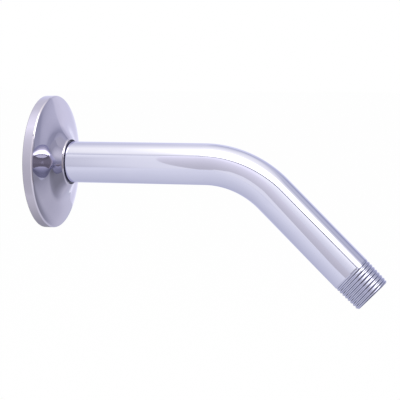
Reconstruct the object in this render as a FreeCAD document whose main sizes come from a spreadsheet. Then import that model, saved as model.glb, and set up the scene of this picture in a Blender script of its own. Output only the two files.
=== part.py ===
import FreeCAD, Part
import math
import os

import Sketcher

# Wall-mounted shower arm with its wall flange, in millimetres.
# The origin is on the arm's axis in the plane of the finished wall.
# +X points out of the wall along the arm, +Z up, and the arm bends down in the XZ plane.

VECTOR = FreeCAD.Vector
SKETCH_NORMAL = VECTOR(0, 0, 1)
QUARTER_TURN = math.pi / 2
HALF_TURN = math.pi

# A sketch numbers the two ends of a line or an arc, and its centre, from one up.
START, END, CENTRE = range(1, 4)

# It numbers its own origin and axes from minus one down; the origin is the first axis's start.
HORIZONTAL_AXIS, VERTICAL_AXIS = range(-1, -3, -1)
ROOT = HORIZONTAL_AXIS

# Two points or radii closer than this are the same, and so are two volumes whose difference is
# less than this share of them.
SAME_PLACE = 0.01
SAME_VOLUME = 0.001

# The narrow flats that turn the flange's rim from the band to the face.
RIM_FLATS = range(4)

# Driving sizes.
# The tube is half inch taper-threaded pipe, 203 mm long before it is bent.
SIZES = {
    "tube_diameter": 21.336,
    "tube_wall": 2.73,
    "inlet_depth": 5.9,
    "straight_run": 86.2,
    "bend_radius": 50.8,
    "bend_angle": 45.0,
    "lower_leg": 71.2,
    # The blank that stands for the thread is as wide as the mean of the taper's crests,
    # a little under the pipe.
    "thread_relief": 0.168,
    "thread_length": 16.0,
    "thread_runout": 0.6,
    "end_chamfer": 1.0,
    "bore_chamfer": 0.5,
    # The flange is one sheet, drawn to a cup with a rim band, a shallow cone and a flared collar.
    "flange_diameter": 68.8,
    "band_width": 4.6,
    "sheet_thickness": 0.9,
    "rim_radius": 1.3,
    "face_angle": 12.5,
    "flare_radius": 11.0,
    "flare_angle": 38.0,
    "collar_length": 1.2,
    "lip_chamfer": 0.25,
    "hole_clearance": 0.6,
}


def new_sheet(document):
    """Write the driving sizes to a spreadsheet, one aliased cell each."""
    sheet = document.addObject("Spreadsheet::Sheet", "Sizes")
    for row, (name, value) in enumerate(SIZES.items(), start=1):
        sheet.set("A{}".format(row), name)
        sheet.set("B{}".format(row), str(value))
        sheet.setAlias("B{}".format(row), name)
    document.recompute()
    return sheet


def origin_plane(body, role):
    """One of the body's own origin planes, found by its role."""
    for feature in body.Origin.OriginFeatures:
        if feature.Role == role:
            return feature
    raise ValueError("no plane " + role)


def new_sketch(body, name, role):
    """An empty sketch on one of the body's origin planes."""
    sketch = body.newObject("Sketcher::SketchObject", name)
    sketch.AttachmentSupport = [(origin_plane(body, role), "")]
    sketch.MapMode = "FlatFace"
    return sketch


def line(sketch, start, end):
    """Add a straight edge and return its number."""
    return sketch.addGeometry(Part.LineSegment(start, end))


def arc(sketch, centre, radius, first, last):
    """Add an arc that runs anticlockwise from one angle to another, in radians."""
    circle = Part.Circle(centre, SKETCH_NORMAL, radius)
    return sketch.addGeometry(Part.ArcOfCircle(circle, first, last))


def guide(sketch, number):
    """Keep a line or arc in the sketch to construct by, out of the outline."""
    sketch.toggleConstruction(number)
    return number


def bind(sketch, constraint, expression):
    """Add a constraint whose value follows the spreadsheet."""
    number = sketch.addConstraint(constraint)
    sketch.setExpression("Constraints[{}]".format(number), expression)


def relate(sketch, kind, *ends):
    """Add a constraint that has no value, such as Tangent or Coincident."""
    sketch.addConstraint(Sketcher.Constraint(kind, *ends))


def polar(centre, radius, angle):
    """The point at an angle on a circle, in the sketch's plane."""
    return centre + VECTOR(math.cos(angle), math.sin(angle), 0) * radius


# Arm

def route_points():
    """The bend's centre and the leg's two ends, in the XZ plane."""
    turn = math.radians(SIZES["bend_angle"])
    centre = VECTOR(SIZES["straight_run"], -SIZES["bend_radius"], 0)
    bend_end = polar(centre, SIZES["bend_radius"], QUARTER_TURN - turn)
    leg_end = polar(bend_end, SIZES["lower_leg"], -turn)
    return turn, centre, bend_end, leg_end


def draw_route(body):
    """The arm's centre line: a straight run, one bend and a straight leg."""
    turn, centre, bend_end, leg_end = route_points()
    inlet = VECTOR(-SIZES["inlet_depth"], 0, 0)
    bend_start = VECTOR(SIZES["straight_run"], 0, 0)
    sketch = new_sketch(body, "ArmRoute", "XZ_Plane")
    run = line(sketch, inlet, bend_start)
    bend = arc(sketch, centre, SIZES["bend_radius"], QUARTER_TURN - turn, QUARTER_TURN)
    leg = line(sketch, bend_end, leg_end)
    relate(sketch, "PointOnObject", run, START, HORIZONTAL_AXIS)
    relate(sketch, "Horizontal", run)
    relate(sketch, "Tangent", run, END, bend, END)
    relate(sketch, "Tangent", bend, START, leg, START)
    bind(sketch, Sketcher.Constraint("DistanceX", run, START, ROOT, START, SIZES["inlet_depth"]),
         "Sizes.inlet_depth")
    bind(sketch, Sketcher.Constraint("DistanceX", ROOT, START, run, END, SIZES["straight_run"]),
         "Sizes.straight_run")
    bind(sketch, Sketcher.Constraint("Radius", bend, SIZES["bend_radius"]), "Sizes.bend_radius")
    bind(sketch, Sketcher.Constraint("Angle", bend, turn), "Sizes.bend_angle * 1 deg")
    bind(sketch, Sketcher.Constraint("Distance", leg, SIZES["lower_leg"]), "Sizes.lower_leg")
    return sketch


def draw_section(body):
    """The pipe's ring section, square to the route at its inlet end."""
    outside = SIZES["tube_diameter"] / 2
    inside = outside - SIZES["tube_wall"]
    sketch = new_sketch(body, "ArmSection", "YZ_Plane")
    sketch.setExpression(".AttachmentOffset.Base.z", "-Sizes.inlet_depth")
    outer = sketch.addGeometry(Part.Circle(VECTOR(0, 0, 0), SKETCH_NORMAL, outside))
    bore = sketch.addGeometry(Part.Circle(VECTOR(0, 0, 0), SKETCH_NORMAL, inside))
    relate(sketch, "Coincident", outer, CENTRE, ROOT, START)
    relate(sketch, "Coincident", bore, CENTRE, ROOT, START)
    bind(sketch, Sketcher.Constraint("Radius", outer, outside), "Sizes.tube_diameter / 2")
    bind(sketch, Sketcher.Constraint("Radius", bore, inside),
         "Sizes.tube_diameter / 2 - Sizes.tube_wall")
    return sketch


def draw_thread_relief(body, name):
    """What is turned off one end, drawn with that end at the origin and the pipe along +X.

    A shallow ring down to the thread's blank, with a sloped run-out where the thread fades
    into the pipe and a chamfer at the pipe's end.
    """
    pipe = SIZES["tube_diameter"] / 2
    blank = pipe - SIZES["thread_relief"]
    length = SIZES["thread_length"]
    runout = SIZES["thread_runout"]
    chamfer = SIZES["end_chamfer"]
    corners = [
        VECTOR(0, blank - chamfer, 0),
        VECTOR(chamfer, blank, 0),
        VECTOR(length - runout, blank, 0),
        VECTOR(length, pipe, 0),
        VECTOR(0, pipe, 0),
    ]
    sketch = new_sketch(body, name, "XZ_Plane")
    edges = []
    for start, end in zip(corners, corners[1:] + corners[:1]):
        edges.append(line(sketch, start, end))
    for edge, following in zip(edges, edges[1:] + edges[:1]):
        relate(sketch, "Coincident", edge, END, following, START)
    slope, barrel, fade, top, end_face = edges
    relate(sketch, "Vertical", end_face)
    relate(sketch, "Horizontal", barrel)
    relate(sketch, "Horizontal", top)
    relate(sketch, "PointOnObject", slope, START, VERTICAL_AXIS)
    bind(sketch, Sketcher.Constraint("DistanceX", slope, START, slope, END, chamfer),
         "Sizes.end_chamfer")
    bind(sketch, Sketcher.Constraint("DistanceY", slope, START, slope, END, chamfer),
         "Sizes.end_chamfer")
    bind(sketch, Sketcher.Constraint("DistanceX", fade, START, fade, END, runout),
         "Sizes.thread_runout")
    bind(sketch, Sketcher.Constraint("DistanceX", top, END, top, START, length),
         "Sizes.thread_length")
    bind(sketch, Sketcher.Constraint("DistanceY", ROOT, START, barrel, START, blank),
         "Sizes.tube_diameter / 2 - Sizes.thread_relief")
    bind(sketch, Sketcher.Constraint("DistanceY", ROOT, START, top, START, pipe),
         "Sizes.tube_diameter / 2")
    return sketch


def turn_down(body, sketch, name):
    """Turn a drawn ring off the pipe, about the sketch's own horizontal axis."""
    groove = body.newObject("PartDesign::Groove", name)
    groove.Profile = sketch
    groove.ReferenceAxis = (sketch, ["H_Axis"])
    groove.Angle = 360.0
    return groove


def bore_rims(shape):
    """The edges where the bore meets the two end faces."""
    bore = SIZES["tube_diameter"] / 2 - SIZES["tube_wall"]
    turn, centre, bend_end, leg_end = route_points()
    ends = [VECTOR(-SIZES["inlet_depth"], 0, 0), VECTOR(leg_end.x, 0, leg_end.y)]
    names = []
    for number, edge in enumerate(shape.Edges, start=1):
        if not isinstance(edge.Curve, Part.Circle):
            continue
        at_an_end = any(edge.Curve.Center.isEqual(end, SAME_PLACE) for end in ends)
        if at_an_end and abs(edge.Curve.Radius - bore) < SAME_PLACE:
            names.append("Edge{}".format(number))
    return names


def make_arm(document):
    """The bent pipe, one piece with a thread blank turned on each end."""
    body = document.addObject("PartDesign::Body", "Arm")
    body.Label = "arm"
    route = draw_route(body)
    section = draw_section(body)
    pipe = body.newObject("PartDesign::AdditivePipe", "BentPipe")
    pipe.Profile = section
    pipe.Spine = (route, ["Edge1", "Edge2", "Edge3"])
    document.recompute()

    inlet_ring = draw_thread_relief(body, "InletRing")
    inlet_ring.setExpression(".AttachmentOffset.Base.x", "-Sizes.inlet_depth")
    turn_down(body, inlet_ring, "InletThread")
    document.recompute()

    # The outlet's ring is the same drawing, turned round to look back up the leg.
    outlet_ring = draw_thread_relief(body, "OutletRing")
    outlet_ring.setExpression(
        ".AttachmentOffset.Base.x",
        "Sizes.straight_run + Sizes.bend_radius * sin(Sizes.bend_angle * 1 deg)"
        " + Sizes.lower_leg * cos(Sizes.bend_angle * 1 deg)")
    outlet_ring.setExpression(
        ".AttachmentOffset.Base.y",
        "-Sizes.bend_radius * (1 - cos(Sizes.bend_angle * 1 deg))"
        " - Sizes.lower_leg * sin(Sizes.bend_angle * 1 deg)")
    outlet_ring.setExpression(".AttachmentOffset.Rotation.Angle",
                              "(180 - Sizes.bend_angle) * 1 deg")
    turn_down(body, outlet_ring, "OutletThread")
    document.recompute()

    deburr = body.newObject("PartDesign::Chamfer", "BoreChamfers")
    deburr.Base = (body.getObject("OutletThread"), bore_rims(body.getObject("OutletThread").Shape))
    deburr.setExpression("Size", "Sizes.bore_chamfer")
    body.Tip = deburr
    return body


# Flange

def draw_flange_section(body):
    """The section of the pressed sheet above the axis, wall side on the vertical axis.

    Outside, from the wall: the rim band, the flats round the rim, the cone, the flare, the
    straight collar and its sheared edge.  The inner side is set in by the sheet's thickness.
    """
    sheet = SIZES["sheet_thickness"]
    rim = SIZES["flange_diameter"] / 2
    band = SIZES["band_width"]
    rim_round = SIZES["rim_radius"]
    face = math.radians(SIZES["face_angle"])
    flare = math.radians(SIZES["flare_angle"])
    lip = face + flare
    outer_flare = SIZES["flare_radius"]
    inner_flare = outer_flare + sheet
    collar = SIZES["collar_length"]
    chamfer = SIZES["lip_chamfer"]
    chamfer_side = chamfer * math.sqrt(2)
    hole = SIZES["tube_diameter"] / 2 + SIZES["hole_clearance"]

    # The rim turns on a small radius, in equal flats whose corners lie on it.
    round_centre = VECTOR(band, rim - rim_round, 0)
    flat_turn = (QUARTER_TURN - face) / len(RIM_FLATS)
    rim_corners = [VECTOR(band, rim, 0)]
    for flat in RIM_FLATS:
        angle = QUARTER_TURN - flat_turn * (flat + 1)
        rim_corners.append(polar(round_centre, rim_round, angle))

    # The cone runs from the rim to the height where the flare begins.
    cone_start = rim_corners[-1]
    collar_height = hole + sheet * math.sin(lip)
    flare_height = collar_height + collar * math.cos(lip)
    flare_height += outer_flare * (math.sin(lip) - math.sin(face))
    cone_length = (cone_start.y - flare_height) / math.cos(face)
    cone_end = polar(cone_start, cone_length, face - QUARTER_TURN)
    flare_centre = polar(cone_end, outer_flare, face)
    collar_start = polar(flare_centre, outer_flare, lip + HALF_TURN)

    # The sheared edge is square to the sheet, with both its corners broken.
    collar_end = polar(collar_start, collar, lip - QUARTER_TURN)
    corner = polar(collar_end, chamfer, lip - QUARTER_TURN)
    edge_start = polar(corner, chamfer, lip + HALF_TURN)
    edge_end = polar(corner, sheet - chamfer, lip + HALF_TURN)
    inner_collar_end = polar(collar_end, sheet, lip + HALF_TURN)

    # Inside, one slope backs the flare, tangent to its circle halfway round.
    slope_reach = inner_flare / math.cos(flare / 4)
    inner_collar_start = polar(flare_centre, slope_reach, lip + HALF_TURN - flare / 4)
    inner_cone_end = polar(flare_centre, slope_reach, face + HALF_TURN + flare / 4)

    # The band and the cone meet in a sharp corner inside.
    inner_band_height = rim - sheet
    reach = (inner_band_height - inner_cone_end.y) / math.cos(face)
    inner_corner = polar(inner_cone_end, reach, face + QUARTER_TURN)

    sketch = new_sketch(body, "FlangeSection", "XZ_Plane")
    outer_band = line(sketch, VECTOR(0, rim, 0), VECTOR(band, rim, 0))
    flats = [line(sketch, start, end) for start, end in zip(rim_corners, rim_corners[1:])]
    outer_cone = line(sketch, cone_start, cone_end)
    flare_outside = arc(sketch, flare_centre, outer_flare, face + HALF_TURN, lip + HALF_TURN)
    outer_collar = line(sketch, collar_start, collar_end)
    outer_bevel = line(sketch, collar_end, edge_start)
    sheared_edge = line(sketch, edge_start, edge_end)
    inner_bevel = line(sketch, edge_end, inner_collar_end)
    inner_collar = line(sketch, inner_collar_end, inner_collar_start)
    inner_slope = line(sketch, inner_collar_start, inner_cone_end)
    inner_cone = line(sketch, inner_cone_end, inner_corner)
    inner_band = line(sketch, inner_corner, VECTOR(0, inner_band_height, 0))
    back_edge = line(sketch, VECTOR(0, inner_band_height, 0), VECTOR(0, rim, 0))
    rim_turn = guide(sketch, arc(sketch, round_centre, rim_round, face, QUARTER_TURN))
    flare_back = guide(sketch, sketch.addGeometry(
        Part.Circle(flare_centre, SKETCH_NORMAL, inner_flare)))

    relate(sketch, "Tangent", outer_band, END, rim_turn, END)
    relate(sketch, "Tangent", rim_turn, START, outer_cone, START)
    relate(sketch, "Coincident", outer_band, END, flats[0], START)
    for flat, following in zip(flats, flats[1:]):
        relate(sketch, "Coincident", flat, END, following, START)
        relate(sketch, "PointOnObject", flat, END, rim_turn)
        relate(sketch, "Equal", flat, following)
    relate(sketch, "Coincident", flats[-1], END, outer_cone, START)
    relate(sketch, "Tangent", outer_cone, END, flare_outside, START)
    relate(sketch, "Tangent", flare_outside, END, outer_collar, START)
    relate(sketch, "Coincident", outer_collar, END, outer_bevel, START)
    relate(sketch, "Coincident", outer_bevel, END, sheared_edge, START)
    relate(sketch, "Coincident", sheared_edge, END, inner_bevel, START)
    relate(sketch, "Coincident", inner_bevel, END, inner_collar, START)
    relate(sketch, "Coincident", inner_collar, END, inner_slope, START)
    relate(sketch, "Coincident", inner_slope, END, inner_cone, START)
    relate(sketch, "Coincident", inner_cone, END, inner_band, START)
    relate(sketch, "Coincident", inner_band, END, back_edge, START)
    relate(sketch, "Coincident", back_edge, END, outer_band, START)
    relate(sketch, "Coincident", flare_outside, CENTRE, flare_back, CENTRE)
    relate(sketch, "Tangent", inner_collar, flare_back)
    relate(sketch, "Tangent", inner_slope, flare_back)
    relate(sketch, "Tangent", inner_cone, flare_back)
    relate(sketch, "Parallel", outer_cone, inner_cone)
    relate(sketch, "Parallel", outer_collar, inner_collar)
    relate(sketch, "Perpendicular", outer_collar, sheared_edge)
    relate(sketch, "Equal", outer_bevel, inner_bevel)
    relate(sketch, "Horizontal", outer_band)
    relate(sketch, "Horizontal", inner_band)
    relate(sketch, "Vertical", back_edge)
    relate(sketch, "PointOnObject", outer_band, START, VERTICAL_AXIS)
    bind(sketch, Sketcher.Constraint("DistanceY", ROOT, START, outer_band, START, rim),
         "Sizes.flange_diameter / 2")
    bind(sketch, Sketcher.Constraint("Distance", outer_band, band), "Sizes.band_width")
    bind(sketch, Sketcher.Constraint("DistanceY", inner_band, END, outer_band, START, sheet),
         "Sizes.sheet_thickness")
    bind(sketch, Sketcher.Constraint("Radius", rim_turn, rim_round), "Sizes.rim_radius")
    bind(sketch, Sketcher.Constraint("Angle", rim_turn, QUARTER_TURN - face),
         "(90 - Sizes.face_angle) * 1 deg")
    bind(sketch, Sketcher.Constraint("Radius", flare_outside, outer_flare),
         "Sizes.flare_radius")
    bind(sketch, Sketcher.Constraint("Radius", flare_back, inner_flare),
         "Sizes.flare_radius + Sizes.sheet_thickness")
    bind(sketch, Sketcher.Constraint("Angle", inner_slope, END, inner_cone, START,
                                     HALF_TURN - flare / 2),
         "(180 - Sizes.flare_angle / 2) * 1 deg")
    bind(sketch, Sketcher.Constraint("Angle", flare_outside, flare),
         "Sizes.flare_angle * 1 deg")
    bind(sketch, Sketcher.Constraint("Distance", outer_collar, collar), "Sizes.collar_length")
    bind(sketch, Sketcher.Constraint("Distance", outer_bevel, chamfer_side),
         "Sizes.lip_chamfer * sqrt(2)")
    bind(sketch, Sketcher.Constraint("Distance", sheared_edge, sheet - 2 * chamfer),
         "Sizes.sheet_thickness - 2 * Sizes.lip_chamfer")
    bind(sketch, Sketcher.Constraint("DistanceX", outer_collar, END, sheared_edge, START,
                                     edge_start.x - collar_end.x),
         "Sizes.lip_chamfer * (sin(Sizes.face_angle * 1 deg + Sizes.flare_angle * 1 deg)"
         " - cos(Sizes.face_angle * 1 deg + Sizes.flare_angle * 1 deg))")
    bind(sketch, Sketcher.Constraint("DistanceY", ROOT, START, inner_collar, START, hole),
         "Sizes.tube_diameter / 2 + Sizes.hole_clearance")
    return sketch


def make_flange(document):
    """The wall flange, one pressed sheet that is open at the back."""
    body = document.addObject("PartDesign::Body", "Flange")
    body.Label = "flange"
    section = draw_flange_section(body)
    cup = body.newObject("PartDesign::Revolution", "PressedCup")
    cup.Profile = section
    cup.ReferenceAxis = (section, ["H_Axis"])
    cup.Angle = 360.0
    return body


# Checks and export

def check_sketches(document):
    """Stop if a sketch has an open freedom or a constraint that does not hold."""
    for sketch in document.findObjects("Sketcher::SketchObject"):
        if sketch.solve() != 0:
            raise RuntimeError("sketch does not solve: " + sketch.Label)
        if not sketch.FullyConstrained:
            raise RuntimeError("sketch is not fully constrained: " + sketch.Label)


def check_model(document, pieces):
    """Stop if an object failed or a piece has no valid solid."""
    for item in document.Objects:
        if "Invalid" in item.State or "Error" in item.State:
            raise RuntimeError("object failed: " + item.Label)
    for piece in pieces:
        shape = piece.Shape
        if shape.isNull() or not shape.isValid() or len(shape.Solids) != 1:
            raise RuntimeError("piece has no single valid solid: " + piece.Label)


def check_pipe(arm):
    """Compare the bent pipe's volume with its section times its developed length."""
    turn = math.radians(SIZES["bend_angle"])
    outside = SIZES["tube_diameter"] / 2
    inside = outside - SIZES["tube_wall"]
    length = SIZES["inlet_depth"] + SIZES["straight_run"] + SIZES["bend_radius"] * turn
    length += SIZES["lower_leg"]
    expected = math.pi * (outside ** 2 - inside ** 2) * length
    found = arm.getObject("BentPipe").Shape.Volume
    print("developed length {:.1f} mm, pipe volume {:.0f} of {:.0f} mm3".format(
        length, found, expected))
    if abs(found - expected) > SAME_VOLUME * expected:
        raise RuntimeError("the pipe's volume does not match its length")


def main():
    document = FreeCAD.newDocument("ShowerArm")
    new_sheet(document)
    pieces = [make_arm(document), make_flange(document)]
    document.recompute()
    check_sketches(document)
    check_model(document, pieces)
    check_pipe(pieces[0])
    os.makedirs("parts", exist_ok=True)
    for piece in pieces:
        box = piece.Shape.BoundBox
        print("{}: volume {:.0f} mm3, x {:.2f} to {:.2f}, z {:.2f} to {:.2f}".format(
            piece.Label, piece.Shape.Volume, box.XMin, box.XMax, box.ZMin, box.ZMax))
        piece.Shape.exportStep("parts/{}.step".format(piece.Label))


main()
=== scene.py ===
"""Chromed shower arm and its wall flange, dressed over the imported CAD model.

The part's sizes are in millimetres, in the model's own frame: the origin on the arm's axis in
the plane of the wall, +X out of the wall, +Z up.  Its meshes are made in millimetres and stored
in metres.  The studio's sizes are in metres.
"""

import math

import bpy
import numpy as np
from mathutils import Matrix, Vector


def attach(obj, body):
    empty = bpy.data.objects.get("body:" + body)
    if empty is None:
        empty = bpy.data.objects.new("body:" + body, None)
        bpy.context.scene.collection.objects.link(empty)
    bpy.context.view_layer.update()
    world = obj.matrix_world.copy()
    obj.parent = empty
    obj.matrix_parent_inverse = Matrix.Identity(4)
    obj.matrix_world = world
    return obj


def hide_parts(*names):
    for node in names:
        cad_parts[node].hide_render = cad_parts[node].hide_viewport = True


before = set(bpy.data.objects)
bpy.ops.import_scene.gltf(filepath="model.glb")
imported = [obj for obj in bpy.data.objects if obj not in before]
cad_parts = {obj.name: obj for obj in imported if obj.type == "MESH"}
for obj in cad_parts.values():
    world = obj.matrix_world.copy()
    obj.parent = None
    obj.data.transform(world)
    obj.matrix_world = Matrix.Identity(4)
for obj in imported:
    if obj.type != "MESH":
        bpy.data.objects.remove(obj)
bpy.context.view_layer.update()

MM = 0.001
FULL_TURN = 2 * math.pi

# Arm: half inch taper-threaded pipe, bent once.
TUBE_RADIUS = 10.668
BORE_RADIUS = 7.938
INLET_DEPTH = 5.9
STRAIGHT_RUN = 86.2
BEND_RADIUS = 50.8
BEND_ANGLE = math.radians(45)
LOWER_LEG = 71.2
BEND_START = INLET_DEPTH + STRAIGHT_RUN
BEND_END = BEND_START + BEND_RADIUS * BEND_ANGLE
ARM_LENGTH = BEND_END + LOWER_LEG

# Taper thread: fourteen turns an inch, one in sixteen on diameter.  Plate and buffing leave it
# shallow and well rounded.
THREAD_PITCH = 25.4 / 14
THREAD_DEPTH = 0.5
THREAD_END_RADIUS = 10.358
THREAD_TAPER = 1 / 32
THREAD_LENGTH = 16.0
THREAD_FADE = 1.2
# How far painted shade darkens the steepest flanks of the thread.
FLANK_PAINTED_SHADE = 0.7
END_RADIUS = 9.5

# Flange: one pressed sheet.  Its profile leaves the rim at a slope, flattens to the face, rises
# to the neck's slope, and turns out to a short collar at the hole.  Slopes are degrees from the
# plane of the wall.  The face lies between two radii and the neck within a third, and the
# blend is the length over which one slope passes to the next.
FLANGE_RADIUS = 34.4
FLANGE_DEPTH = 13.8
BAND_WIDTH = 4.6
SHEET = 0.9
RIM_ROUND = 1.0
RIM_SLOPE = 20.0
FACE_SLOPE = 10.0
FACE_OUTSIDE = 29.9
FACE_INSIDE = 22.0
NECK_SLOPE = 33.0
NECK_OUTSIDE = 17.1
BLEND = 6.0
COLLAR_RADIUS = 1.6
COLLAR_SLOPE = 64.0
HOLE_RADIUS = TUBE_RADIUS + 0.6
LIP_BULGE = 0.35
BACK_BULGE = 0.3

# Points round each piece, and rows to each of the thread's pitches.
ARM_COLUMNS = 192
FLANGE_COLUMNS = 480
ROWS_TO_PITCH = 15


# Meshes

def grid_piece(name, points, buffed_and_lit, material, body, node):
    """A smooth closed surface through a grid of points that joins up both ways.

    points is rows by columns by 3.  Each face takes the four neighbours of its place, and the
    last row and column are followed by the first, so there is no seam and no pole.  The points'
    attribute, which the material reads, says from 0 to 1 how well the wheel buffed each point and
    how far it lies out of painted shade: below 1 the colour is darkened as painted shade.
    """
    rows, columns = points.shape[:2]
    row, column = np.meshgrid(np.arange(rows), np.arange(columns), indexing="ij")
    next_row = (row + 1) % rows
    next_column = (column + 1) % columns
    corners = np.stack([
        row * columns + column,
        next_row * columns + column,
        next_row * columns + next_column,
        row * columns + next_column,
    ], axis=-1).reshape(-1, 4)
    mesh = bpy.data.meshes.new(name)
    mesh.vertices.add(rows * columns)
    mesh.vertices.foreach_set("co", (points * MM).ravel())
    mesh.loops.add(corners.size)
    mesh.loops.foreach_set("vertex_index", corners.ravel())
    mesh.polygons.add(len(corners))
    mesh.polygons.foreach_set("loop_start", np.arange(0, corners.size, 4))
    mesh.update(calc_edges=True)
    mesh.shade_smooth()
    buffed_and_lit_values = mesh.attributes.new("buffed_and_lit", "FLOAT", "POINT")
    buffed_and_lit_values.data.foreach_set("value", buffed_and_lit.ravel())
    mesh.materials.append(material)
    piece = bpy.data.objects.new(name, mesh)
    bpy.context.scene.collection.objects.link(piece)
    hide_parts(node)
    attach(piece, body)
    return piece


# Arm

def route(along):
    """Centre, outward normal of the bend, and tangent, at a distance along the centre line.

    The line runs straight along X, turns down on a circle by the bend's angle, and goes on
    straight.  The turn at a distance is the distance past the bend's start over its radius,
    kept between nothing and the full bend.
    """
    turn = np.clip((along - BEND_START) / BEND_RADIUS, 0, BEND_ANGLE)
    before = np.minimum(along, BEND_START) - INLET_DEPTH
    after = np.maximum(along - BEND_END, 0)
    nothing = np.zeros_like(along)
    tangent = np.stack([np.cos(turn), nothing, -np.sin(turn)], axis=-1)
    outward = np.stack([np.sin(turn), nothing, np.cos(turn)], axis=-1)
    centre = np.stack([
        before + BEND_RADIUS * np.sin(turn),
        nothing,
        -BEND_RADIUS * (1 - np.cos(turn)),
    ], axis=-1)
    return centre + tangent * after[..., None], outward, tangent


def thread(along, around):
    """How deep the thread's groove is and how steep its flanks are, each from 0 to 1.

    The helix's phase is the distance over the pitch plus the share of a turn.  The depth is half
    of one minus its cosine, 0 on a crest and 1 in a root, and the steepness is its sine squared.
    Both fade out over the thread's last stretch.
    """
    from_end = np.minimum(along, ARM_LENGTH - along)
    phase = FULL_TURN * (along / THREAD_PITCH + around / FULL_TURN)
    fade = np.clip((THREAD_LENGTH - from_end) / THREAD_FADE, 0, 1)
    return (0.5 - 0.5 * np.cos(phase)) * fade, np.sin(phase) ** 2 * fade


def outside_radius(along, groove):
    """The least of the plain pipe, the grooved cone and the end's chamfer.

    The crests lie on a cone that widens by the taper away from the nearer end.
    """
    from_end = np.minimum(along, ARM_LENGTH - along)
    crest = THREAD_END_RADIUS + THREAD_TAPER * from_end
    cut = np.where(from_end < THREAD_LENGTH, crest - THREAD_DEPTH * groove, TUBE_RADIUS)
    return np.minimum(np.minimum(cut, TUBE_RADIUS), END_RADIUS + from_end)


def arm_surface():
    """Outside from inlet to outlet, the outlet's end face, the bore back, the inlet's end face.

    Each row is a ring square to the centre line, at a distance along it, with a radius of its
    own at each angle.
    """
    thread_rows = np.arange(0, THREAD_LENGTH + 0.4, THREAD_PITCH / ROWS_TO_PITCH)
    bend_rows = np.linspace(BEND_START, BEND_END, 45)
    outside = np.concatenate([
        thread_rows,
        np.linspace(THREAD_LENGTH + 1, BEND_START - 1, 12),
        bend_rows,
        np.linspace(BEND_END + 1, ARM_LENGTH - THREAD_LENGTH - 1, 8),
        ARM_LENGTH - thread_rows[::-1],
    ])
    # Each mouth is a flat face and a broken edge down into the bore: radii, and depths inwards.
    face = np.array([8.75, 8.60, 8.45, 8.40])
    mouth = np.concatenate([face, [8.0, 7.96, BORE_RADIUS, BORE_RADIUS]])
    depth = np.array([0, 0, 0, 0.04, 0.44, 0.49, 0.54, 0.80])
    # The bore needs rows only at the bend and a little way from it.
    bore = np.concatenate([
        [ARM_LENGTH - 30], bend_rows[::-2], [BEND_START - 1, BEND_START - 40]])
    along = np.concatenate([outside, ARM_LENGTH - depth, bore, depth[::-1]])
    inside = np.concatenate([mouth, np.full(len(bore), BORE_RADIUS), mouth[::-1]])
    around = np.arange(ARM_COLUMNS) / ARM_COLUMNS * FULL_TURN
    along_grid, around_grid = np.meshgrid(along, around, indexing="ij")
    count = len(outside)
    groove, flank = thread(along_grid[:count], around_grid[:count])
    radius = np.empty_like(along_grid)
    radius[:count] = outside_radius(along_grid[:count], groove)
    radius[count:] = inside[:, None]
    # Painted shade and reflection: most of the thread's flanks, all of the bore and the inlet's end
    # face take a darker, bluer colour than the buffed plate.  The bore and the inlet's end face are
    # also dull, as the wheel misses them.
    buffed_and_lit = np.zeros_like(along_grid)
    buffed_and_lit[:count] = 1 - FLANK_PAINTED_SHADE * flank
    buffed_and_lit[count:count + len(face)] = 1
    centre, outward, tangent = route(along_grid)
    sideways = np.array([0.0, -1.0, 0.0])
    normal = np.cos(around_grid)[..., None] * sideways + np.sin(around_grid)[..., None] * outward
    return centre + radius[..., None] * normal, buffed_and_lit


# Flange

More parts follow.
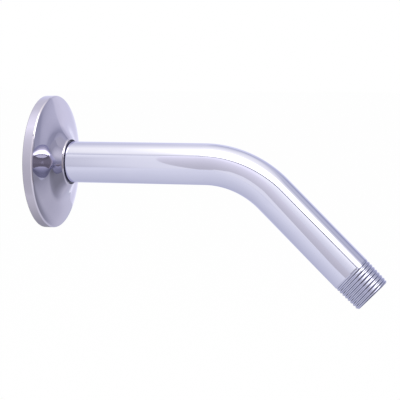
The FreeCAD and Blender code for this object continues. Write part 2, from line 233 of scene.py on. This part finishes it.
def flange_line():
    """The sheet's outer line from the wall to the hole, as points and the slope at each.

    The band is straight, and the rim and the collar are arcs: on one of radius R from slope a to
    slope b, a point at slope t lies R (cos a - cos t) further out and R (sin t - sin a) nearer
    the axis, with R negative at the rim, where the slope falls.  Between the two arcs the slope
    runs straight from value to value by radius, and is averaged over the blend's length, as a
    pressed sheet has no sudden change of curve.  The rise is the sum of the slope's tangent,
    scaled so that the whole line is as deep as the flange.
    """
    rim, neck, collar = (math.radians(a) for a in (RIM_SLOPE, NECK_SLOPE, COLLAR_SLOPE))

    def arc(first, last, radius):
        slope = np.linspace(first, last, 15)
        out = radius * (np.cos(first) - np.cos(slope))
        return np.stack([out, radius * (np.sin(first) - np.sin(slope))], axis=1), slope

    rim_arc, rim_slope = arc(math.pi / 2, rim, -RIM_ROUND)
    collar_arc, collar_slope = arc(neck, collar, COLLAR_RADIUS)

    start = FLANGE_RADIUS - RIM_ROUND * (1 - math.sin(rim))
    end = HOLE_RADIUS + SHEET * math.sin(collar)
    end = end + COLLAR_RADIUS * (math.sin(collar) - math.sin(neck))
    height = np.linspace(start, end, 100)
    # Past the rim's edge the slope goes on as it falls to the face, so that the blend keeps it.
    fall = (RIM_SLOPE - FACE_SLOPE) / (start - FACE_OUTSIDE)
    places = [end, NECK_OUTSIDE, FACE_INSIDE, FACE_OUTSIDE, start + BLEND]
    slopes = [NECK_SLOPE, NECK_SLOPE, FACE_SLOPE, FACE_SLOPE, RIM_SLOPE + fall * BLEND]
    window = np.linspace(-BLEND / 2, BLEND / 2, 61)
    steep = np.tan(np.radians(np.interp(height[:, None] + window, places, slopes).mean(axis=1)))
    step = height[0] - height[1]
    rise = np.concatenate([[0], np.cumsum((steep[1:] + steep[:-1]) / 2) * step])
    depth = FLANGE_DEPTH - LIP_BULGE * math.sin(collar) - BAND_WIDTH
    scale = (depth - rim_arc[-1, 0] - collar_arc[-1, 0]) / rise[-1]

    band = np.linspace(BACK_BULGE, BAND_WIDTH - 0.2, 4)
    band = np.stack([band, np.full_like(band, FLANGE_RADIUS)], axis=1)
    rim_arc = rim_arc + np.array([BAND_WIDTH, FLANGE_RADIUS])
    face = np.stack([rim_arc[-1, 0] + scale * rise, height], axis=1)
    collar_arc = collar_arc + face[-1]
    points = np.concatenate([band, rim_arc[:-1], face, collar_arc[1:]])
    slope = np.concatenate([
        np.full(len(band), math.pi / 2), rim_slope[:-1], np.arctan(scale * steep),
        collar_slope[1:]])
    return points, slope


def flange_surface():
    """The pressed sheet's outline turned about the X axis.

    The inner line lies a sheet's thickness behind the outer line, along its normal, which is
    (cos of the slope, sin of the slope).  Each cut edge is half an ellipse from line to line.
    """
    outer, slope = flange_line()
    normal = np.stack([np.cos(slope), np.sin(slope)], axis=1)
    inner = outer - SHEET * normal
    swing = np.linspace(0, math.pi, 11)[1:-1, None]

    def edge(index, forward, bulge):
        middle = outer[index] - SHEET / 2 * normal[index]
        return middle + SHEET / 2 * np.cos(swing) * normal[index] + bulge * np.sin(swing) * forward

    lip = edge(-1, np.array([math.sin(slope[-1]), -math.cos(slope[-1])]), LIP_BULGE)
    back = edge(0, np.array([-1.0, 0.0]), BACK_BULGE)[::-1]
    outline = np.concatenate([outer, lip, inner[::-3], back])
    around = np.arange(FLANGE_COLUMNS) / FLANGE_COLUMNS * FULL_TURN
    # Past the outer line and a third of the way over the lip, the sheet's colour is darkened as
    # painted shade, and the plate is dull there, as the wheel does not reach it.
    buffed_and_lit = np.zeros((len(outline), len(around)))
    buffed_and_lit[:len(outer) + 3] = 1
    height = outline[:, 1][:, None]
    forward = np.broadcast_to(outline[:, 0][:, None], (len(outline), len(around)))
    points = np.stack([forward, height * np.sin(around), height * np.cos(around)], axis=-1)
    return points, buffed_and_lit


# Materials

def linear(hex_colour):
    """An sRGB hex colour as the linear RGBA that shaders take."""
    channels = [int(hex_colour[i:i + 2], 16) / 255 for i in (1, 3, 5)]
    curve = [c / 12.92 if c <= 0.04045 else ((c + 0.055) / 1.055) ** 2.4 for c in channels]
    return (*curve, 1.0)


def add(tree, kind, links=(), **settings):
    """Add a node with its settings, and link sockets into it: links is (input, socket) pairs."""
    node = tree.nodes.new(kind)
    for name, value in settings.items():
        if name.startswith("in_"):
            key = name[3:]
            socket = node.inputs[int(key)] if key.isdigit() else node.inputs[key.replace("_", " ")]
            socket.default_value = value
        else:
            setattr(node, name, value)
    for name, source in links:
        tree.links.new(source, node.inputs[name])
    return node


def polished_chrome(name, pale, deep, painted_shade_pale, painted_shade_deep):
    """Bright chromium plate on a buffed part: mirror-like, cool grey with a violet cast.

    The buffing leaves a haze in soft patches and a very fine grain, which blur the mirror a
    little more in some places than in others, and shift its tint.  Inside, and on the flanks of
    the threads, the colour is darkened and blued as painted shade and reflection.  Inside, where
    the wheel does not reach, the plate is also dull.
    """
    material = bpy.data.materials.new(name)
    material.use_nodes = True
    tree = material.node_tree
    shader = tree.nodes["Principled BSDF"]
    shader.inputs["Metallic"].default_value = 1.0
    # Seen along the surface, chromium turns more lavender.
    shader.inputs["Specular Tint"].default_value = linear("#F4F4FF")
    place = add(tree, "ShaderNodeTexCoord").outputs["Object"]
    buffed_and_lit = add(tree, "ShaderNodeAttribute", attribute_name="buffed_and_lit").outputs["Fac"]
    # Patches about 12 mm across, and buffing grain about 0.4 mm.  The roughness is 0.02 to 0.06
    # where the wheel reached, and 0.32 to 0.5 where it did not.
    haze = add(tree, "ShaderNodeTexNoise", [("Vector", place)], in_Scale=1 / (12 * MM),
               in_Detail=2.0)
    fine = add(tree, "ShaderNodeTexNoise", [("Vector", place)], in_Scale=1 / (0.4 * MM),
               in_Detail=3.0)
    both = add(tree, "ShaderNodeMath", [(0, haze.outputs["Fac"]), (1, fine.outputs["Fac"])],
               operation="ADD")
    mirror = add(tree, "ShaderNodeMapRange", [("Value", both.outputs[0])], in_From_Min=0.6,
                 in_From_Max=1.4, in_To_Min=0.02, in_To_Max=0.06)
    dull = add(tree, "ShaderNodeMapRange", [("Value", both.outputs[0])], in_From_Min=0.6,
               in_From_Max=1.4, in_To_Min=0.32, in_To_Max=0.5)
    # The painted shade on the thread flanks darkens the plate without blurring it, so only the least
    # buffed part is dull.
    smooth = add(tree, "ShaderNodeMapRange", [("Value", buffed_and_lit)], in_From_Max=0.25)
    rough = add(tree, "ShaderNodeMix", [(0, smooth.outputs["Result"]),
                                        (2, dull.outputs["Result"]),
                                        (3, mirror.outputs["Result"])])
    tree.links.new(rough.outputs[0], shader.inputs["Roughness"])
    tint = add(tree, "ShaderNodeValToRGB", [("Fac", haze.outputs["Fac"])])
    tint.color_ramp.elements[0].color = linear(deep)
    tint.color_ramp.elements[1].color = linear(pale)
    # Painted shade: the dark, blued colour of the flanks, the bore and the flange's back.
    painted_shade_tint = add(tree, "ShaderNodeValToRGB", [("Fac", haze.outputs["Fac"])])
    painted_shade_tint.color_ramp.elements[0].color = linear(painted_shade_deep)
    painted_shade_tint.color_ramp.elements[1].color = linear(painted_shade_pale)
    colour = add(tree, "ShaderNodeMix", data_type="RGBA",
                 links=[(0, buffed_and_lit), (6, painted_shade_tint.outputs["Color"]), (7, tint.outputs["Color"])])
    tree.links.new(colour.outputs[2], shader.inputs["Base Color"])
    return material


# Studio

def card(name, low, high, dim_colour, bright_colour, glow):
    """A glowing card of the studio, which shows only in what mirrors it.

    low and high are two opposite edges, each a chain of as many points.  The card's points lie
    evenly along both chains and evenly between them.  The glow is a function of a point's x, y
    and z, as a share of white, and it is kept on the card's points.  The colour goes from one to
    the other as the glow goes from 0.6 to 1.4.
    """
    links = len(low) - 1
    # About a hundred columns, and rows close enough that a change of glow shows no steps.
    columns = links * max(8, 96 // links) + 1
    rows = 81
    along = np.linspace(0, links, columns)
    edges = [np.stack([np.interp(along, np.arange(links + 1), part) for part in zip(*chain)], 1)
             for chain in (low, high)]
    up = np.linspace(0, 1, rows)[:, None, None]
    points = (edges[0] * (1 - up) + edges[1] * up).reshape(-1, 3)
    first = (np.arange(rows - 1)[:, None] * columns + np.arange(columns - 1)).reshape(-1, 1)
    faces = first + np.array([0, 1, columns + 1, columns])
    mesh = bpy.data.meshes.new(name)
    mesh.from_pydata(points.tolist(), [], faces.tolist())
    level = mesh.attributes.new("glow", "FLOAT", "POINT")
    level.data.foreach_set("value", np.broadcast_to(glow(*points.T), len(points)))
    material = bpy.data.materials.new(name)
    material.use_nodes = True
    tree = material.node_tree
    tree.nodes.clear()
    share = add(tree, "ShaderNodeAttribute", attribute_name="glow").outputs["Fac"]
    place = add(tree, "ShaderNodeMapRange", [("Value", share)], in_From_Min=0.6, in_From_Max=1.4)
    tint = add(tree, "ShaderNodeValToRGB", [("Fac", place.outputs["Result"])])
    tint.color_ramp.elements[0].color = linear(dim_colour)
    tint.color_ramp.elements[1].color = linear(bright_colour)
    shine = add(tree, "ShaderNodeEmission",
                [("Color", tint.outputs["Color"]), ("Strength", share)])
    add(tree, "ShaderNodeOutputMaterial", [("Surface", shine.outputs[0])])
    mesh.materials.append(material)
    board = bpy.data.objects.new(name, mesh)
    board.visible_camera = False
    board.visible_diffuse = False
    board.visible_shadow = False
    bpy.context.scene.collection.objects.link(board)


def softbox_glow(x, y, z):
    """Brightest over the arm, fading to the back and sooner at the right, and duller at the left.

    The far right is lifted in the middle, and its front edge falls to the dark edge card.
    """
    depth = y * np.interp(x, [0.10, 0.65, 0.9], [1, 2.0, 3.0])
    right = np.interp(depth, [0, 0.09, 0.30, 0.56, 1.0], [3.6, 1.7, 1.35, 1.1, 0.70])
    lift = np.interp(x, [0.1, 0.2, 0.35, 0.5, 0.8, 1.0], [0, 0.2, 0.45, 0.45, 0.35, 0.1])
    right = right * (1 + lift * np.interp(y, [0.15, 0.3, 0.6, 0.75, 1.0], [0, 0.3, 1, 0.9, 0.4]))
    right = np.minimum(right, np.interp(y, [-0.58, -0.52, -0.44], [1.3, 1.7, 3.6]))
    left = np.interp(y, [-0.56, -0.42, -0.3, 0, 0.16, 0.32, 0.64, 1.0],
                     [1.05, 1.38, 1.48, 1.50, 1.36, 1.25, 1.13, 1.30])
    left = left * np.interp(x, [-0.4, -0.3, -0.2], [0.84, 0.88, 1.0])
    share = np.interp(x + np.interp(y, [0, 0.13], [0, 0.03]), [-0.175, -0.10], [0, 1])
    return left * (1 - share) + right * share


def front_glow(x, y, z):
    """The front of the tent brightens to the top, and its left end lies in shade low down."""
    left = np.interp(x, [-0.30, -0.24, -0.20, -0.16], [0.70, 0.84, 0.975, 1.03])
    left = 1 - (1 - left) * np.interp(z, [0.35, 0.55], [1, 0.2])
    return left * np.interp(z, [-0.25, 0.1, 0.3, 0.6], [1.18, 1.18, 1.22, 1.32])


def right_front_glow(x, y, z):
    """The front's right part starts dimmer at the floor and ends brighter at the top."""
    return np.interp(z, [0.02, 0.15, 0.33, 0.62], [0.93, 1.08, 1.23, 1.5])


def dim_glow(x, y, z):
    """The dim card is darkest at its lower left, and brightens upwards and to the right."""
    return np.interp(z + 0.35 * np.maximum(x, 0), [-0.05, 0, 0.05, 0.11, 0.15, 0.18, 0.22],
                     [0.80, 0.85, 0.93, 1.06, 1.15, 1.25, 1.45])


def rim_glow(x, y, z):
    """What only the flange's rim mirrors: dim low down, and bright towards the top."""
    return np.interp(z, [-0.15, -0.1, 0, 0.1, 0.2, 0.35, 0.5, 0.7],
                     [0.79, 0.78, 0.82, 0.98, 1.13, 1.38, 1.52, 1.48])


def rim_top_glow(x, y, z):
    """The top of what the rim mirrors fades to the back."""
    return np.interp(y, [-0.2, -0.08, 0.08, 0.24, 0.5], [1.47, 1.43, 1.27, 1.08, 1.0])


def rim_floor_glow(x, y, z):
    """The floor that the rim mirrors is brightest near the front edge and dark at the back."""
    return np.interp(y, [-0.2, -0.16, -0.12, -0.07, -0.04, 0, 0.05, 0.15, 0.5],
                     [0.79, 0.80, 0.88, 0.80, 0.73, 0.64, 0.54, 0.45, 0.38])


def back_glow(x, y, z):
    """The back wall is bright behind the arm, and grey to the right of the tent's corner."""
    low = np.interp(x, [-0.4, 0.1, 0.3, 0.45], [1.06, 1.07, 1.12, 1.04])
    low = low * (1 + 0.12 * np.interp(z, [-0.1, 0.1], [1, 0]) * np.interp(x, [0, 0.15], [1, 0]))
    high = np.interp(x, [-0.4, 0, 0.15, 0.3, 0.46], [1.05, 1.12, 1.0, 0.92, 0.88])
    up = np.interp(z, [0.20, 0.34], [0, 1])
    left = low * (1 - up) + high * up
    grey = np.interp(z, [0, 0.1, 0.2, 0.3, 0.4, 0.48, 0.56, 0.7],
                     [0.90, 0.86, 0.83, 0.76, 0.66, 0.60, 0.72, 0.84])
    falling = np.interp(x, [0.5, 0.6, 0.8, 0.9, 1.0, 1.3], [1.03, 1, 0.93, 0.86, 0.73, 0.72])
    right = grey * (1 - (1 - falling) * np.interp(z, [0.25, 0.45], [1, 0.3]))
    share = np.interp(x, [0.455, 0.495], [0, 1])
    return left * (1 - share) + right * share


def dark_side_glow(x, y, z):
    """What the flange sees by way of the arm: dark, least so half way up, paler at its end."""
    middle = np.interp(z, [-0.12, -0.04, 0.13, 0.20], [0.33, 0.42, 0.42, 0.33])
    return middle + np.interp(y, [-0.16, -0.10], [0, 0.5])


def floor_glow(x, y, z):
    """What metal sees of the floor: bright in front, dimmer under and behind, dark at right."""
    along = np.interp(y, [-0.5, -0.25, 0, 0.12, 0.22, 0.32, 0.42, 0.6, 0.9],
                      [1.19, 1.13, 0.99, 0.92, 0.90, 0.86, 0.83, 0.90, 0.93])
    left = np.interp(x, [-0.20, -0.15, -0.10, -0.05, 0],
                     [0.86, 0.98, 0.93, 0.96, 1.0])
    shade = np.interp(y, [-0.45, -0.15], [0.5, 1.0])
    near = along * (1 - shade * (1 - left))
    # Towards the back, a paler patch at the left gives way to a slightly darker one.
    under = np.interp(x, [-0.13, -0.10, -0.08, 0, 0.1], [0.22, 0, -0.12, -0.08, 0])
    near = near * (1 + under * np.interp(y, [0.2, 0.4], [0, 1]))
    far = np.interp(y, [0.2, 0.4, 0.5, 0.6], [0.38, 0.49, 0.70, 0.78])
    far = far * np.interp(x, [0.55, 0.75, 1.0], [1, 0.85, 0.60])
    right = np.interp(x - 0.15 * np.maximum(y, 0), [0.10, 0.21, 0.30], [0, 0.75, 1])
    right = right * np.interp(y, [-0.4, -0.2, -0.05], [0.1, 0.45, 1.0])
    return near * (1 - right) + far * right


def side_glow(x, y, z):
    """The wall at the right: pale in front, grey behind, and dark near the floor."""
    pale = np.interp(y, [0.25, 0.6], [0.98, 0.62])
    return pale * np.interp(z, [-0.25, 0.0, 0.25], [0.42, 0.58, 1])


def cards():
    """The softbox overhead, the tent's walls and floor, and the cards that stand near the arm."""
    top = 0.70
    low = -0.255
    seam = -0.58
    wall = 1.0
    wide = 1.6
    cool = "#E9ECFF"
    warm = "#FFFEF5"
    card("softbox", [(-wide, seam, top), (wide, seam, top)], [(-wide, wall, top), (wide, wall, top)],
         cool, warm, softbox_glow)
    # The softbox's dark front edge starts narrow over the flange and widens to the right.
    edge = top - 0.005
    card("softbox_edge", [(-0.18, -0.572, edge), (0.2, -0.577, edge), (wide, -0.577, edge)],
         [(-0.18, -0.545, edge), (0.2, -0.515, edge), (wide, -0.38, edge)],
         cool, cool, lambda x, y, z: 0.3)
    card("tent_front", [(-wide, -0.75, low), (0.25, -0.75, low)],
         [(-wide, seam, top), (0.25, seam, top)], "#F4F4FF", "#FFFFFA", front_glow)
    card("tent_front_right", [(0.25, -0.75, low), (wide, -0.75, low)],
         [(0.25, seam, top), (wide, seam, top)], "#F4F4FF", "#FFFFFA", right_front_glow)
    card("tent_back", [(-wide, wall, low), (0.45, wall, low), (0.5, wall, low), (wide, wall, low)],
         [(-wide, wall, top), (0.45, wall, top), (0.5, wall, top), (wide, wall, top)],
         "#E4E8FF", "#FFFFFF", back_glow)
    # The flange's oval of reflections is dark where the arm mirrors this card into it.
    card("dark_side", [(0.5, -0.72, low), (0.5, -0.10, low)],
         [(0.5, -0.72, 0.28), (0.5, -0.10, 0.28)], "#FFF8F8", "#FFF8F8", dark_side_glow)
    card("mirrored_floor", [(-wide, -0.75, low), (0.5, -0.75, low), (wide, -0.75, low)],
         [(-wide, wall, low), (0.5, wall, low), (wide, wall, low)],
         "#EDF0FF", "#FFFFFC", floor_glow)
    card("tent_side", [(wide, -0.75, low), (wide, wall, low)],
         [(wide, -0.75, top), (wide, wall, top)], cool, "#FFFFFF", side_glow)
    # The dim card stands close to the arm.  Its left end leans, and its lower side has a notch.
    near = -0.2
    notch = [(0.025, -0.079), (0.034, -0.049), (0.054, -0.014), (0.072, -0.006),
             (0.088, -0.020), (0.091, -0.110), (0.189, -0.110)]
    card("dim_card", [(x, near, z) for x, z in notch],
         [(x, near, 0.23) for x in (-0.028, 0.034, 0.054, 0.072, 0.088, 0.091, 0.189)],
         "#FFFCFE", "#FFFCFE", dim_glow)
    # Only the rim sees these three: their right edges lie between its view and the arm's.
    white = "#FAFBFF"
    rim_low = -0.15
    rim_high = top - 0.01
    reach = [(-0.081, rim_low), (-0.0705, -0.1), (-0.0634, -0.05), (-0.0609, 0.0),
             (-0.0633, 0.05), (-0.0703, 0.1), (-0.094, 0.2), (-0.125, 0.3), (-0.195, 0.5),
             (-0.264, 0.69)]
    card("rim_card", [(-0.5, near, z) for x, z in reach], [(x, near, z) for x, z in reach],
         white, white, rim_glow)
    reach = [(-0.266, near), (-0.2555, 0), (-0.2665, 0.2), (-0.298, 0.4), (-0.344, 0.6),
             (-0.46, wall)]
    card("rim_top_card", [(-1, y, rim_high) for x, y in reach],
         [(x, y, rim_high) for x, y in reach], white, white, rim_top_glow)
    reach = [(-0.081, near), (-0.0543, -0.1), (-0.0455, -0.04), (-0.0443, 0.02), (-0.0574, 0.1),
             (-0.0855, 0.2), (-0.119, 0.3), (-0.192, 0.5)]
    card("rim_floor_card", [(-0.5, y, rim_low) for x, y in reach],
         [(x, y, rim_low) for x, y in reach], white, white, rim_floor_glow)


def tent():
    """The white room, at half strength for matt surfaces, which the lamp lights as well."""
    world = bpy.data.worlds.new("light_tent")
    bpy.context.scene.world = world
    world.use_nodes = True
    tree = world.node_tree
    tree.nodes.clear()
    white = linear("#FFFFFF")
    room = add(tree, "ShaderNodeBackground", in_Color=white, in_Strength=0.5)
    shown = add(tree, "ShaderNodeBackground", in_Color=white, in_Strength=1.0)
    rays = add(tree, "ShaderNodeLightPath").outputs
    direct = add(tree, "ShaderNodeMath", [(0, rays["Is Camera Ray"]), (1, rays["Is Glossy Ray"])],
                 operation="MAXIMUM")
    mix = add(tree, "ShaderNodeMixShader",
              [("Fac", direct.outputs[0]), (1, room.outputs[0]), (2, shown.outputs[0])])
    add(tree, "ShaderNodeOutputWorld", [("Surface", mix.outputs[0])])


def floor():
    """Plain pale paper well below the part, nearly all of it as white as the background."""
    low = -0.26
    side = 3.0
    mesh = bpy.data.meshes.new("floor")
    mesh.from_pydata([(-side, -side, low), (side, -side, low), (side, side, low),
                      (-side, side, low)], [], [(0, 1, 2, 3)])
    material = bpy.data.materials.new("white_paper_floor")
    material.use_nodes = True
    tree = material.node_tree
    tree.nodes.clear()
    rays = add(tree, "ShaderNodeLightPath").outputs
    direct = add(tree, "ShaderNodeMath", [(0, rays["Is Camera Ray"]), (1, rays["Is Glossy Ray"])],
                 operation="MAXIMUM")
    share = add(tree, "ShaderNodeMath", [(0, direct.outputs[0])], operation="MULTIPLY", in_1=0.985)
    paper = add(tree, "ShaderNodeBsdfDiffuse", in_Color=linear("#FAFAFC"))
    white = add(tree, "ShaderNodeEmission", in_Color=linear("#FFFFFF"), in_Strength=1.0)
    mix = add(tree, "ShaderNodeMixShader",
              [("Fac", share.outputs[0]), (1, paper.outputs[0]), (2, white.outputs[0])])
    add(tree, "ShaderNodeOutputMaterial", [("Surface", mix.outputs[0])])
    mesh.materials.append(material)
    plane = bpy.data.objects.new("floor", mesh)
    bpy.context.scene.collection.objects.link(plane)


def lamp():
    """A wide soft lamp overhead for matt surfaces; metal sees the softbox card in its place."""
    data = bpy.data.lights.new("overhead_lamp", "AREA")
    data.shape = "RECTANGLE"
    data.size = 1.6
    data.size_y = 1.2
    data.energy = 9.0
    holder = bpy.data.objects.new("overhead_lamp", data)
    holder.location = (0.1, 0.0, 0.69)
    holder.visible_glossy = False
    bpy.context.scene.collection.objects.link(holder)


def camera():
    """The photograph's viewpoint, from its yaw, pitch, roll, aim and distance."""
    yaw, pitch, roll = (math.radians(a) for a in (16.86, 8.92, -1.33))
    view = Vector((-math.sin(yaw) * math.cos(pitch), math.cos(yaw) * math.cos(pitch),
                   -math.sin(pitch)))
    level_right = Vector((math.cos(yaw), math.sin(yaw), 0))
    level_up = level_right.cross(view)
    right = math.cos(roll) * level_right + math.sin(roll) * level_up
    up = -math.sin(roll) * level_right + math.cos(roll) * level_up
    distance = 914.29
    aim = Vector((70, 0, -25)) + 12.42 * right + 6.05 * up
    place = (aim - distance * view) * MM
    data = bpy.data.cameras.new("camera")
    # The lens gives 1776.6 pixels of focal length on a picture 400 pixels wide.
    data.sensor_width = 36
    data.lens = 159.89
    data.clip_start = 0.01
    holder = bpy.data.objects.new("camera", data)
    axes = Matrix((right, up, -view)).transposed().to_4x4()
    holder.matrix_world = Matrix.Translation(place) @ axes
    bpy.context.scene.collection.objects.link(holder)
    bpy.context.scene.camera = holder


bpy.context.scene.view_settings.view_transform = "Standard"

# Each plate's last two colours are painted shade, for the thread flanks, the bore and the flange's
# back.
arm_points, arm_buffed_and_lit = arm_surface()
arm = grid_piece("chromed_arm", arm_points, arm_buffed_and_lit,
                 polished_chrome("arm_bright_chrome_plate", "#CACADD", "#C6C6DA",
                                 "#4C5488", "#343C70"), "arm", "arm")
# The flange's plate is darker and pinker than the arm's, partly as a duller plate on thin pressed
# steel and partly as painted shade and reflection.
flange_points, flange_buffed_and_lit = flange_surface()
flange = grid_piece("chromed_flange", flange_points, flange_buffed_and_lit,
                    polished_chrome("flange_bright_chrome_plate", "#C6C1D0", "#C0BBCB",
                                    "#5C5C64", "#47474F"),
                    "flange", "flange")

tent()
floor()
lamp()
cards()
camera()
